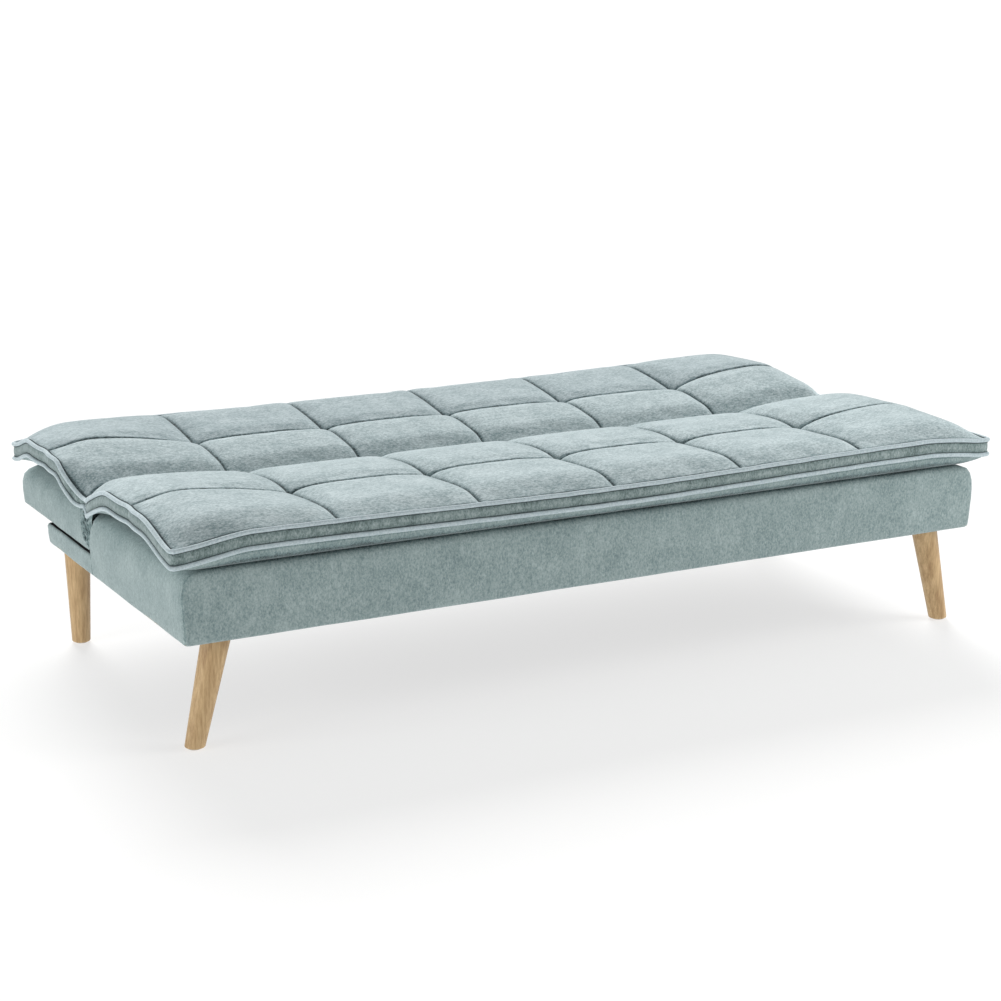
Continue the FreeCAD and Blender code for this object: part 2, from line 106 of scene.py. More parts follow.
# %% Skylight, soft boxes and the white room
key_data = bpy.data.lights.new("skylight", "SUN")
key_data.energy = 3.3
key_data.angle = math.radians(32.0)
key = bpy.data.objects.new("skylight", key_data)
key_from = Vector((0.25, 0.90, 0.64))
key.rotation_euler = (-key_from).to_track_quat("-Z", "Y").to_euler()
scene.collection.objects.link(key)


def soft_box(name, place, aim, energy, size):
    """A large soft lamp at one place, turned to another."""
    lamp_data = bpy.data.lights.new(name, "AREA")
    lamp_data.size = size
    lamp_data.energy = energy
    lamp = bpy.data.objects.new(name, lamp_data)
    lamp.location = place
    lamp.rotation_euler = (Vector(aim) - Vector(place)).to_track_quat("-Z", "Y").to_euler()
    scene.collection.objects.link(lamp)


soft_box("end_fill", (-3.5, -0.5, 1.0), (-0.8, -0.1, 0.25), 26.0, 1.6)
soft_box("right_window", (2.6, -1.7, 1.9), (0.5, -0.2, 0.35), 44.0, 1.8)
room = bpy.data.worlds.new("white_room")
room.use_nodes = True
room.node_tree.nodes["Background"].inputs["Color"].default_value = (1.0, 1.0, 1.0, 1.0)
room.node_tree.nodes["Background"].inputs["Strength"].default_value = 0.24
scene.world = room

# %% [markdown]
# ## Materials
#
# Each material starts from what the real one is. Four helpers do the repeated work: one turns an sRGB hex
# colour into the linear numbers that a shader wants, one adds a node with its settings and its links, one
# starts a material, and one lays down a noise whose grains have a real size in millimetres.

# %% Colour and node helpers
def linear(hex_colour):
    """The linear RGBA of an sRGB colour written as hex."""
    channels = [int(hex_colour[i : i + 2], 16) / 255.0 for i in (1, 3, 5)]
    return (*[c / 12.92 if c <= 0.04045 else ((c + 0.055) / 1.055) ** 2.4 for c in channels], 1.0)


def add(tree, kind, sockets=None, **settings):
    """Adds one shader node. A socket is given a value, or another node's output to be linked from."""
    node = tree.nodes.new("ShaderNode" + kind)
    for name, value in settings.items():
        setattr(node, name, value)
    for name, value in (sockets or {}).items():
        if isinstance(value, bpy.types.NodeSocket):
            tree.links.new(value, node.inputs[name])
        else:
            node.inputs[name].default_value = value
    return node


def new_material(name, roughness, metallic=0.0, **sockets):
    """A new material with one Principled shader. Returns the material, its tree and the shader."""
    material = bpy.data.materials.new(name)
    material.use_nodes = True
    tree = material.node_tree
    shader = tree.nodes["Principled BSDF"]
    shader.inputs["Roughness"].default_value = roughness
    shader.inputs["Metallic"].default_value = metallic
    for socket, value in sockets.items():
        shader.inputs[socket.replace("_", " ")].default_value = value
    return material, tree, shader


def speckle(tree, place, stretch, size_mm, detail, rough):
    """A noise whose grains are size_mm across, stretched by the three factors along x, y and z."""
    scaled = add(tree, "Mapping", {"Vector": place, "Scale": [1.0 / s for s in stretch]})
    sockets = {"Vector": scaled.outputs[0], "Scale": 1.0 / (size_mm * MM), "Detail": detail, "Roughness": rough}
    return add(tree, "TexNoise", sockets).outputs["Fac"]


print("mid grey in linear light:", round(linear("#808080")[0], 3))

# %% [markdown]
# ### Brushed chenille
#
# The cover is woven polyester chenille: soft pile yarns about 1.5 mm thick, brushed so that the pile lies in
# wisps. Where it lies one way the cloth looks lighter, and where it lies the other way it looks darker, which
# gives cloudy patches with short wisps in them. The pile catches light at grazing angles, which is what the
# sheen is for. The yarns are too fine to show from here, so they are drawn 3.4 mm apart. The boxing strip is
# cut across the cloth, so its pile lies downwards, and it is also coloured darker than the panels as painted
# shade under the upper cord. The rear row of the top and the box covers are coloured a shade darker than the
# other panels, as painted shade. Each piece of cloth carries a point attribute from 0 to 1 that darkens it much
# further: painted shade in the seam valleys, beside the piping, in folds and puckers and where the mattress
# meets the box, and pressed pile along the upright corner seams of the boxes.

# %% Brushed chenille
wisp_mm, wisp_share = 9.0, 1.4
yarn_mm, yarn_share = 3.4, 2.8
shade_level, pressed_and_shade_share = 0.4, 0.6
sheen_tint = linear("#DCE8EA")
pressed_and_shade_tone = linear("#3C484A")


def brushed_chenille(name, shade, light, wisp, cloud_mm, contrast=1.0, cloud_share=1.0):
    """Chenille cloth. wisp gives how far the brushed pile is drawn out along x, y and z, contrast how far apart
    its tones are, and cloud_share how much the cloudy patches count beside the wisps and the yarns."""
    material, tree, shader = new_material(
        name, 0.92, Sheen_Weight=0.8, Sheen_Roughness=0.4, Sheen_Tint=sheen_tint, IOR=1.5
    )
    shader.inputs["Specular IOR Level"].default_value = 0.25
    place = add(tree, "TexCoord").outputs["Object"]
    clouds = speckle(tree, place, (1.3, 1.3, 1.3), cloud_mm, 3.0, 0.6)
    wisps = speckle(tree, place, wisp, wisp_mm, 4.0, 0.7)
    yarns = speckle(tree, place, [0.5 + 0.5 * w for w in wisp], yarn_mm, 2.0, 0.8)
    mixed = add(tree, "Math", {0: clouds, 1: cloud_share}, operation="MULTIPLY").outputs[0]
    mixed = add(tree, "Math", {0: wisps, 1: wisp_share, 2: mixed}, operation="MULTIPLY_ADD").outputs[0]
    mixed = add(tree, "Math", {0: yarns, 1: yarn_share, 2: mixed}, operation="MULTIPLY_ADD").outputs[0]
    spread = 0.5 / contrast
    middle = (cloud_share + wisp_share + yarn_share) / 2.0
    brushed = {"From Min": middle - spread, "From Max": middle + spread, "To Min": shade_level, "To Max": 1.0}
    level = add(tree, "MapRange", {"Value": mixed, **brushed}).outputs[0]
    # Painted shade: a point attribute darkens the cloth in seam valleys, folds and contact lines; on the box
    # corner seams it is pressed pile.
    pressed_and_shade = add(tree, "Attribute", attribute_name="pressed_and_shade").outputs["Fac"]
    level = add(tree, "Math", {0: pressed_and_shade, 1: -pressed_and_shade_share, 2: level}, operation="MULTIPLY_ADD").outputs[0]
    tone = add(tree, "ValToRGB", {"Fac": level})
    tone.color_ramp.elements[0].color = pressed_and_shade_tone
    tone.color_ramp.elements[1].color = linear(light)
    tone.color_ramp.elements.new(shade_level).color = linear(shade)
    tree.links.new(tone.outputs[0], shader.inputs["Base Color"])
    pile = add(tree, "Math", {0: wisps, 1: 0.9, 2: yarns}, operation="MULTIPLY_ADD").outputs[0]
    bump = add(tree, "Bump", {"Height": pile, "Strength": 0.55, "Distance": 1.2 * MM})
    tree.links.new(bump.outputs[0], shader.inputs["Normal"])
    return material


lengthwise, downwards, steeply_down = (2.8, 1.2, 1.2), (1.0, 1.0, 2.2), (1.0, 1.0, 2.4)
# The rear row, the box covers and the boxing strip are darker copies of the mattress cloth: painted shade.
mattress_cloth = brushed_chenille("brushed_chenille_mattress", "#829699", "#C6D3D5", lengthwise, 48.0)
rear_row_cloth = brushed_chenille("brushed_chenille_back", "#7B8F93", "#BCC9CC", lengthwise, 48.0)
box_cloth = brushed_chenille("brushed_chenille_box", "#7A8F90", "#B4C4C3", downwards, 60.0, 0.70, 1.3)
boxing_cloth = brushed_chenille("brushed_chenille_boxing", "#758785", "#ADBBBB", steeply_down, 40.0, 0.85)
cloths = [mattress_cloth, rear_row_cloth, box_cloth, boxing_cloth]
print("cloths:", [cloth.name for cloth in cloths])

# %% [markdown]
# ### Piping cloth
#
# The piping is a bias-cut strip of the same cloth, wrapped tightly round a cotton cord 6 mm thick. Stretched
# over the cord its pile stands up, so it looks smoother, bluer and lighter than the panels, and its colour is
# lighter still as a painted highlight along the cord.

# %% Piping cloth
piping_cloth, piping_tree, piping_shader = new_material(
    "bias_cut_piping", 0.85, Sheen_Weight=0.45, Sheen_Roughness=0.4, Sheen_Tint=linear("#E2EEF2"), IOR=1.5
)
piping_place = add(piping_tree, "TexCoord").outputs["Object"]
piping_grain = speckle(piping_tree, piping_place, (1.0, 1.0, 1.0), 4.0, 3.0, 0.6)
piping_tone = add(piping_tree, "ValToRGB", {"Fac": piping_grain})
piping_tone.color_ramp.elements[0].position = 0.3
piping_tone.color_ramp.elements[0].color = linear("#B0C3C8")
piping_tone.color_ramp.elements[1].position = 0.7
piping_tone.color_ramp.elements[1].color = linear("#D4E0E4")
piping_tree.links.new(piping_tone.outputs[0], piping_shader.inputs["Base Color"])
piping_bump = add(piping_tree, "Bump", {"Height": piping_grain, "Strength": 0.4, "Distance": 0.8 * MM})
piping_tree.links.new(piping_bump.outputs[0], piping_shader.inputs["Normal"])
print("piping cloth:", piping_cloth.name)

# %% [markdown]
# ### Oak and pine
#
# The legs are turned from pale oak and lacquered matt: the grain runs along each leg in fine lines, with
# short darker pores. The hidden frame is sawn pine, paler and yellower, with wider bands.

# %% Timber
band_share, pore_share, figure_share = 1.2, 0.7, 0.5
pore_mm, figure_mm = 1.6, 30.0


def timber(name, early, late, along, band_mm, roughness, coat=0.0):
    """Timber whose grain is drawn out along one axis. early and late are the two colours of a year's growth."""
    material, tree, shader = new_material(name, roughness, IOR=1.5, Coat_Weight=coat, Coat_Roughness=0.35)
    place = add(tree, "TexCoord").outputs["Object"]
    stretch = [14.0 if axis == along else 1.0 for axis in "xyz"]
    bands = speckle(tree, place, stretch, band_mm, 3.0, 0.55)
    pores = speckle(tree, place, [s * 0.8 for s in stretch], pore_mm, 2.0, 0.6)
    figure = speckle(tree, place, [1.0 + s * 0.1 for s in stretch], figure_mm, 2.0, 0.5)
    mixed = add(tree, "Math", {0: bands, 1: band_share}, operation="MULTIPLY").outputs[0]
    mixed = add(tree, "Math", {0: pores, 1: pore_share, 2: mixed}, operation="MULTIPLY_ADD").outputs[0]
    mixed = add(tree, "Math", {0: figure, 1: figure_share, 2: mixed}, operation="MULTIPLY_ADD").outputs[0]
    level = add(tree, "MapRange", {"Value": mixed, "From Min": 0.85, "From Max": 1.55})
    tone = add(tree, "ValToRGB", {"Fac": level.outputs[0]})
    tone.color_ramp.elements[0].color = linear(late)
    tone.color_ramp.elements[1].color = linear(early)
    tree.links.new(tone.outputs[0], shader.inputs["Base Color"])
    bump = add(tree, "Bump", {"Height": pores, "Strength": 0.25, "Distance": 0.3 * MM})
    tree.links.new(bump.outputs[0], shader.inputs["Normal"])
    return material


oak = timber("lacquered_oak", "#E4C492", "#AC875A", "z", 5.0, 0.5, 0.12)
pine_along = timber("sawn_pine_lengthwise", "#D9C193", "#B8935A", "x", 9.0, 0.75)
pine_across = timber("sawn_pine_crosswise", "#D9C193", "#B8935A", "y", 9.0, 0.75)
print("timbers:", [wood.name for wood in (oak, pine_along, pine_across)])

# %% [markdown]
# ### Metal, foam, dust cloth and plastic
#
# The hinge plates, bolts and clips are zinc-plated steel: bright, slightly blue, with a faint cloudy spangle.
# The wave springs are bare drawn steel, darker, with a fine mottle. The foam is cream cut polyurethane, full
# of small cells. The dust cloth is black spun-bonded polypropylene, pressed with dots 2 mm apart, which read
# as a fine mottle too. The glides are pale grey moulded polythene.

# %% Small finishes
def finish(name, shade, light, size_mm, roughness, metallic=0.0, bump_mm=0.1, **sockets):
    """A finish with two close colours and one noise, for the small and hidden pieces."""
    material, tree, shader = new_material(name, roughness, metallic, **sockets)
    place = add(tree, "TexCoord").outputs["Object"]
    grain = speckle(tree, place, (1.0, 1.0, 1.0), size_mm, 3.0, 0.6)
    tone = add(tree, "ValToRGB", {"Fac": grain})
    tone.color_ramp.elements[0].position = 0.35
    tone.color_ramp.elements[0].color = linear(shade)
    tone.color_ramp.elements[1].position = 0.65
    tone.color_ramp.elements[1].color = linear(light)
    tree.links.new(tone.outputs[0], shader.inputs["Base Color"])
    rough = add(tree, "MapRange", {"Value": grain, "To Min": roughness - 0.08, "To Max": roughness + 0.08})
    tree.links.new(rough.outputs[0], shader.inputs["Roughness"])
    bump = add(tree, "Bump", {"Height": grain, "Strength": 0.4, "Distance": bump_mm * MM})
    tree.links.new(bump.outputs[0], shader.inputs["Normal"])
    return material


zinc = finish("zinc_plated_steel", "#A9ADB1", "#C6CACC", 6.0, 0.32, 1.0)
spring_wire = finish("drawn_spring_steel", "#6B6D70", "#8C8F92", 2.0, 0.38, 1.0)
foam = finish("cut_polyurethane_foam", "#D6CBA8", "#EDE4C6", 2.0, 0.95, bump_mm=1.0, IOR=1.5)
dust_cloth = finish("spun_bonded_dust_cloth", "#121314", "#2A2B2D", 2.0, 0.9, bump_mm=0.5, IOR=1.5)
polythene = finish("moulded_polythene", "#B9B9B4", "#CFCFCA", 4.0, 0.5, IOR=1.51)
print("small finishes:", [small.name for small in (zinc, spring_wire, foam, dust_cloth, polythene)])

# %% [markdown]
# Each node of the frame comes with a plain material that carries its slot's name, so a table from slot to
# finish dresses them all. Pine is the exception: its grain has to run along the timber, and the pieces that
# lie across the sofa bed need the crosswise one.

# %% Give every node of the frame its finish
node_finish = {
    "oak": oak,
    "zinc_steel": zinc,
    "spring_steel": spring_wire,
    "foam": foam,
    "dust_cloth": dust_cloth,
    "glide_plastic": polythene,
    "mattress_fabric": mattress_cloth,
    "upholstery_fabric": box_cloth,
}
across_the_frame = ("runner", "side_rail", "bearers")
for name, node in nodes.items():
    slot_name = node.data.materials[0].name.split(".")[0]
    if slot_name == "pine":
        chosen = pine_across if any(word in name for word in across_the_frame) else pine_along
    else:
        chosen = node_finish[slot_name]
    for index in range(len(node.material_slots)):
        node.material_slots[index].material = chosen
print("finishes given:", len(nodes))

# %% [markdown]
# ## How the pieces are made
#
# The upholstery is built point by point. A piece is a list of points and a list of faces, and one helper
# turns them into a mesh object. Two more record how far the cloth is darkened, by painted shade and by pressed
# pile, and turn modifiers into plain mesh.
# Folds and lumps come from Blender's own smooth noise, which gives the same value at the same place every time.

# %% Mesh helpers
def make_piece(name, points, faces, material):
    """A smooth-shaded mesh object from points and faces."""
    mesh = bpy.data.meshes.new(name)
    mesh.from_pydata([tuple(p) for p in points], [], faces)
    mesh.materials.append(material)
    mesh.polygons.foreach_set("use_smooth", [True] * len(mesh.polygons))
    mesh.update()
    piece = bpy.data.objects.new(name, mesh)
    scene.collection.objects.link(piece)
    return piece


def record_pressed_and_shade(piece, amounts):
    """Records how dark each point is: painted shade, and pressed pile on box corner seams. 0 is plain, 1 darkest.
    """
    piece.data.attributes.new("pressed_and_shade", "FLOAT", "POINT").data.foreach_set("value", amounts)


def apply_modifiers(piece):
    """Turns what the modifiers make into the piece's own mesh."""
    bpy.context.view_layer.update()
    evaluated = piece.evaluated_get(bpy.context.evaluated_depsgraph_get())
    finished = bpy.data.meshes.new_from_object(evaluated)
    piece.modifiers.clear()
    piece.data = finished


def ripple(place, size_mm, seed):
    """Smooth noise from about -1 to 1, whose lumps are size_mm apart."""
    return noise.noise(Vector(place) / (size_mm * MM) + Vector((seed, 1.7 * seed, -seed)))


print("smooth noise 10 mm from the origin:", round(ripple((0.01, 0.0, 0.0), 12.0, 3.0), 3))

# %% [markdown]
# ## The quilted mattress
#
# The real mattress is two layers of polyester wadding and foam between a top panel and a lower panel, joined
# round the edge by a boxing strip 31 mm deep with piping in both seams. Five seams run across it and three
# along it. The middle one is the crease where the backrest folds. Every crossing is pulled down, so each seam
# arches between its crossings and each panel swells up between its seams.
#
# A voxel remesh would lose the seams, so the panel starts as a grid with its lines along the seams and closer
# together beside them. A formula gives the stuffed shape, and then a cloth simulation, pinned along the seams
# and blown up a little from below, adds the softness that a formula can't.

# %% Seam positions
column_seams = [-half_length, -0.58, -0.29, 0.0, 0.29, 0.58, half_length]
crease_y = 0.043
row_seams = [front_edge, -0.255, crease_y, 0.24, rear_edge]
cells_across = [26, 24, 24, 24, 24, 26]
cells_deep = [24, 34, 24, 24]
even_share, eased_share = 0.55, 0.45


def graded(lines, cells):
    """Positions between the lines, with close ones beside each line. Also returns which ones are lines."""
    beside = [1.5 * MM, 4.0 * MM, 8.0 * MM]
    places, on_line = [lines[0]], [0]
    for k in range(len(cells)):
        first, last = lines[k] + beside[-1], lines[k + 1] - beside[-1]
        places += [lines[k] + step for step in beside[:-1]]
        inner = cells[k] - 2 * len(beside)
        for i in range(inner + 1):
            t = i / inner
            eased = even_share * t + eased_share * (1.0 - math.cos(math.pi * t)) / 2.0
            places.append(first + (last - first) * eased)
        places += [lines[k + 1] - step for step in reversed([0.0] + beside[:-1])]
        on_line.append(len(places) - 1)
    return places, on_line


grid_x, seam_columns = graded(column_seams, cells_across)
grid_y, seam_rows = graded(row_seams, cells_deep)
print("grid", len(grid_x), "by", len(grid_y))

# %% [markdown]
# The edge of the mattress isn't level. It droops at the four corners, sags a little in the middle of the long
# sides and dips at the crease. The right end has been sat on more than the left and lies lower. The corners are
# sharp, as boxed corners are. The boxing strip is shallower at the crease, where the cloth is drawn up.

# %% The line of the mattress edge
corner_heights = {(-1, -1): 0.395, (1, -1): 0.401, (-1, 1): 0.388, (1, 1): 0.394}
corner_reach = 0.16
long_edge_height, long_edge_rise, long_edge_reach = 0.404, 0.0095, 0.72
left_end_height, left_front_reach, left_rear_reach = 0.424, 0.20, 0.12
right_end_height, right_front_reach = 0.400, 0.10
right_rear_lift, right_rear_slope = 0.005, 0.083
end_share_reach = 0.06
crease_height = 0.368
full_boxing_depth = 0.031
boxing_gathers = [(0.013, 0.05), (0.003, 0.016)]


def smooth_step(t):
    """0 before 0, 1 after 1 and a soft rise between."""
    t = min(max(t, 0.0), 1.0)
    return t * t * (3.0 - 2.0 * t)


def to_end(x):
    """How far a place is from the nearest end of the mattress."""
    return half_length - abs(x)


def to_side(y):
    """How far a place is from the nearest long side."""
    return min(y - front_edge, rear_edge - y)


def boxing_depth(y):
    """How deep the boxing strip is. It is drawn up where the crease gathers it."""
    depth = full_boxing_depth
    for drawn_up, reach in boxing_gathers:
        depth -= drawn_up * (1.0 - smooth_step(abs(y - crease_y) / reach))
    return depth


def end_line(x, y):
    """The height of the top piping along one end."""
    behind = y - crease_y
    if x < 0:
        reach = left_rear_reach if behind > 0 else left_front_reach
        return crease_height + (left_end_height - crease_height) * smooth_step(abs(behind) / reach)
    if behind > 0:
        return crease_height + right_rear_lift + right_rear_slope * behind
    return crease_height + (right_end_height - crease_height) * smooth_step(-behind / right_front_reach)


def edge_line(x, y):
    """The height of the top piping for a place near the edge."""
    side_level = long_edge_height + long_edge_rise * smooth_step(abs(x) / long_edge_reach)
    share = smooth_step(to_end(x) / end_share_reach)
    level = end_line(x, y) * (1.0 - share) + side_level * share
    corner = corner_heights[(1 if x > 0 else -1, 1 if y > crease_y else -1)]
    return corner + (level - corner) * smooth_step(max(to_end(x), to_side(y)) / corner_reach)


print("top piping over the crease at the left end:", round(edge_line(-half_length, crease_y) / MM), "mm up")

# %% [markdown]
# Seen from above, the outline is pulled in at the ends: most at the crease, where the cloth is gathered for
# the fold, a little where the other two lengthwise seams end, and again towards the rear corners. The piping
# seams pinch the cloth in by 3 mm all round, so the piping stands proud between two narrow valleys.

# %% The outline from above
corner_radius = 0.011
seam_pinch = 0.003
pinch_reach = 0.004
crease_pull, crease_pull_reach = 0.018, 0.09
seam_pull, seam_pull_reach = 0.004, 0.05
rear_pull, rear_pull_from, rear_pull_reach = 0.010, 0.30, 0.19
pull_depth = 0.12


def outline(x, y):
    """Moves a place on the square grid to its place on the real outline."""
    from_end, from_side = to_end(x), to_side(y)
    if from_end < corner_radius and from_side < corner_radius:
        a, b = 1.0 - from_end / corner_radius, 1.0 - from_side / corner_radius
        a, b = a * math.sqrt(1.0 - b * b / 2.0), b * math.sqrt(1.0 - a * a / 2.0)
        x = math.copysign(half_length - corner_radius * (1.0 - a), x)
        y = front_edge + corner_radius * (1.0 - b) if y < crease_y else rear_edge - corner_radius * (1.0 - b)
    pull = crease_pull * (1.0 - smooth_step(abs(y - crease_y) / crease_pull_reach))
    for seam in row_seams[1:4:2]:
        pull += seam_pull * (1.0 - smooth_step(abs(y - seam) / seam_pull_reach))
    pull += rear_pull * smooth_step((y - rear_pull_from) / rear_pull_reach)
    share = smooth_step(1.0 - from_end / pull_depth)
    pull = pull * share + seam_pinch * math.exp(-from_end / pinch_reach)
    inward = seam_pinch * math.exp(-from_side / pinch_reach)
    return x - math.copysign(pull, x), y + (inward if y < crease_y else -inward)


print("pulled in at the crease by", round((half_length - outline(half_length, crease_y)[0]) / MM, 1), "mm")

# %% [markdown]
# The height of the top panel starts from the level of the crossings, which falls from the front half to the
# crease and rises again to the rear, so the crease lies in a long shallow valley. On that level each row seam
# arches between its crossings, each column seam arches the other way, and the middle of a panel is a little
# higher still. The end panels have no seam at their outer side, so they stand higher than the others.

# %% The stuffed height of the top panel
crossing_level = [(-0.49, 0.409), (-0.255, 0.411), (-0.12, 0.405), (-0.03, 0.389), (crease_y, 0.370),
                  (0.10, 0.382), (0.25, 0.403), (0.38, 0.413), (0.49, 0.417)]
end_panel_rise = [(-0.49, 0.010), (-0.255, 0.014), (-0.05, 0.016), (crease_y, 0.012), (0.25, 0.020),
                  (0.42, 0.009), (0.49, 0.006)]
end_seam_rise = [0.0, 0.009, 0.0, 0.012, 0.0]
row_seam_arch = [0.0, 0.0145, 0.004, 0.012, 0.0]
column_seam_arch = [0.015, 0.0115, 0.0165, 0.0145]
crown = [0.0185, 0.014, 0.0185, 0.0135]
seam_depth, seam_reach = 0.0070, 0.0040
end_reach, end_swell_power = 0.125, 2.4
side_reach = 0.085
inner_arch_power, end_arch_power, side_arch_power = 3.4, 3.0, 2.2
end_arch_lean = 0.85
groove_fade = 0.010


def along(y, stations):
    """A smooth line through stations (y, value)."""
    k = max(j for j in range(len(stations) - 1) if stations[j][0] <= y + 1e-9 or j == 0)
    (y0, v0), (y1, v1) = stations[k], stations[k + 1]
    before = stations[k - 1] if k else stations[0]
    after = stations[k + 2] if k + 2 < len(stations) else stations[-1]
    span = y1 - y0
    slope0 = (v1 - before[1]) / (y1 - before[0]) * span
    slope1 = (after[1] - v0) / (after[0] - y0) * span
    t = (y - y0) / span
    return (v0 * (1 + 2 * t) * (1 - t) ** 2 + slope0 * t * (1 - t) ** 2
            + v1 * t * t * (3 - 2 * t) + slope1 * t * t * (t - 1))


def cell_share(value, lines):
    """How far the value is across its cell: 0 at its first line, 1 at its second, and the cell's number."""
    k = min(max(j for j in range(len(lines)) if lines[j] <= value + 1e-9), len(lines) - 2)
    return (value - lines[k]) / (lines[k + 1] - lines[k]), k


def arch(t, number, last, outer_power):
    """The rise of the stuffing across a cell. An outer cell keeps its height up to the mattress edge."""
    if number == 0:
        return 1.0 - t ** outer_power
    if number == last:
        return 1.0 - (1.0 - t) ** outer_power
    return 1.0 - abs(2.0 * t - 1.0) ** inner_arch_power


def seam_distance(value, lines):
    """How far the value is from the nearest inner seam."""
    return min(abs(value - line) for line in lines[1:-1])


def edge_rise(x, y):
    """0 at the edge of the mattress, 1 inside, with a soft swell between."""
    from_end = min(to_end(x) / end_reach, 1.0)
    from_side = min(to_side(y) / side_reach, 1.0)
    return (1.0 - (1.0 - from_end) ** end_swell_power) * math.sin(math.pi / 2.0 * from_side)


def top_height(x, y):
    """The height of the stuffed top panel, with its seams drawn down into grooves."""
    u, i = cell_share(x, column_seams)
    v, j = cell_share(y, row_seams)
    last_column, last_row = len(column_seams) - 2, len(row_seams) - 2
    across = arch(u ** end_arch_lean, i, last_column, end_arch_power)
    deep = arch(v, j, last_row, side_arch_power)
    extra = along(y, end_panel_rise) if i in (0, last_column) else 0.0
    on_row = row_seam_arch[j] * (1.0 - v) + row_seam_arch[j + 1] * v + extra
    if i in (0, last_column):
        on_row += end_seam_rise[j] * (1.0 - v) + end_seam_rise[j + 1] * v
    height = along(y, crossing_level) + on_row * across * (1.0 - deep)
    height += column_seam_arch[j] * deep * (1.0 - across) + (crown[j] + extra) * across * deep
    rise = edge_rise(x, y)
    groove = 0.0
    for distance in (seam_distance(x, column_seams), seam_distance(y, row_seams)):
        groove += seam_depth * math.exp(-distance / seam_reach)
    groove *= smooth_step(min(to_end(x), to_side(y)) / groove_fade)
    return edge_line(x, y) * (1.0 - rise) + height * rise - groove


panel_middle = (sum(column_seams[3:5]) / 2.0, sum(row_seams[1:3]) / 2.0)
print("crown of the panel in front of the crease:", round(top_height(*panel_middle) / MM), "mm up")

# %% [markdown]
# The cloth is darkened as painted shade for 6 mm on each side of a seam, for the shade in its narrow valley,
# and beside the piping. The shaded band lies 2 mm behind a lengthwise seam, on the slope that faces the front.
# The lower panel rests on the boxes. Only its rim shows, where it bulges below the lower piping and tucks in to
# the top of the box. It slopes up more gently at the ends, which hang over. From just inside its edge it is
# darkened as painted shade, which shows as a dark line where it meets the box.

# %% Where the pile is pressed, and the height of the lower panel
seam_shade_band, seam_shade_lean = 0.006, 0.002
cord_foot = 0.0045
shade_from_side, shade_side_fade = 0.001, 0.008
shade_from_end, shade_end_fade = 0.03, 0.02
side_tuck, end_tuck = 0.028, 0.055


def painted_shade_top(x, y):
    """How dark the top panel is painted, as shade beside its seams and its piping, from 0 to 1."""
    beside_cord = max(min(to_end(x), to_side(y)) - cord_foot, 0.0)
    nearest = min(seam_distance(x, column_seams), seam_distance(y - seam_shade_lean, row_seams), beside_cord)
    return 1.0 - smooth_step(nearest / seam_shade_band)


def painted_shade_under(x, y):
    """How dark the lower panel is painted, as shade where it rests on the box, from 0 to 1."""
    at_side = smooth_step((to_side(y) - shade_from_side) / shade_side_fade)
    return at_side * smooth_step((to_end(x) - shade_from_end) / shade_end_fade)


def shoulder(t):
    """A quarter circle: rises steeply from 0 and is level at 1, as stuffed cloth does beside a seam."""
    t = min(max(t, 0.0), 1.0)
    return math.sqrt(1.0 - (1.0 - t) ** 2)


def under_height(x, y):
    """The height of the lower panel, from the lower piping in to the top of the box."""
    lower_seam = edge_line(x, y) - boxing_depth(y)
    return lower_seam + (box_top - lower_seam) * min(shoulder(to_side(y) / side_tuck), to_end(x) / end_tuck, 1.0)


print("lower panel 10 mm in from the front:", round(under_height(0.0, front_edge + 0.01) / MM), "mm up")

# %% [markdown]
# Now the grid can be laid out. Its points go row by row, and the rim is the list of the points round its
# edge, in order, which the boxing will hang from.

# %% Lay out the top panel
columns, rows = len(grid_x), len(grid_y)
points, faces, pile = [], [], []
for y in grid_y:
    for x in grid_x:
        points.append(Vector((*outline(x, y), top_height(x, y))))
        pile.append(painted_shade_top(x, y))
for j in range(rows - 1):
    for i in range(columns - 1):
        corner = j * columns + i
        faces.append((corner, corner + 1, corner + columns + 1, corner + columns))
rim = list(range(columns))
rim += [j * columns + columns - 1 for j in range(1, rows)]
rim += [(rows - 1) * columns + i for i in range(columns - 2, -1, -1)]
rim += [j * columns for j in range(rows - 2, 0, -1)]
top_count = len(points)
print("top panel points:", top_count, "of which on the rim:", len(rim))

# %% [markdown]
# ### Letting the wadding swell
#
# The top panel alone goes through the simulation. Its seams and its rim are pinned. The cloth is cut a little
# larger than its frame, and a light pressure from below fills it, so it settles into soft uneven swells. No
# point may move further than a set cap, and near a seam, where the stitches hold the cloth, it moves less.

# %% Simulate the top panel
swell_cap = 0.004
stitched_reach = 0.032
swell_frames = 20
panel = make_piece("panel_to_swell", points, faces, mattress_cloth)
held = set(rim)
for j in seam_rows:
    held.update(j * columns + i for i in range(columns))
for i in seam_columns:
    held.update(j * columns + i for j in range(rows))
pins = panel.vertex_groups.new(name="pins")
pins.add(sorted(held), 1.0, "REPLACE")
swollen = [p.copy() for p in points]
cloth = panel.modifiers.new("swell", "CLOTH")
cloth.settings.quality = 6
cloth.settings.mass = 0.3
cloth.settings.tension_stiffness = 12.0
cloth.settings.compression_stiffness = 12.0
cloth.settings.shear_stiffness = 4.0
cloth.settings.bending_stiffness = 0.4
cloth.settings.vertex_group_mass = "pins"
cloth.settings.shrink_min = -0.008
cloth.settings.use_pressure = True
cloth.settings.uniform_pressure_force = 1.5
cloth.settings.effector_weights.gravity = 0.0
cloth.collision_settings.use_collision = False
for frame_number in range(1, swell_frames + 1):
    scene.frame_set(frame_number)
result = panel.evaluated_get(bpy.context.evaluated_depsgraph_get()).data
furthest = 0.0
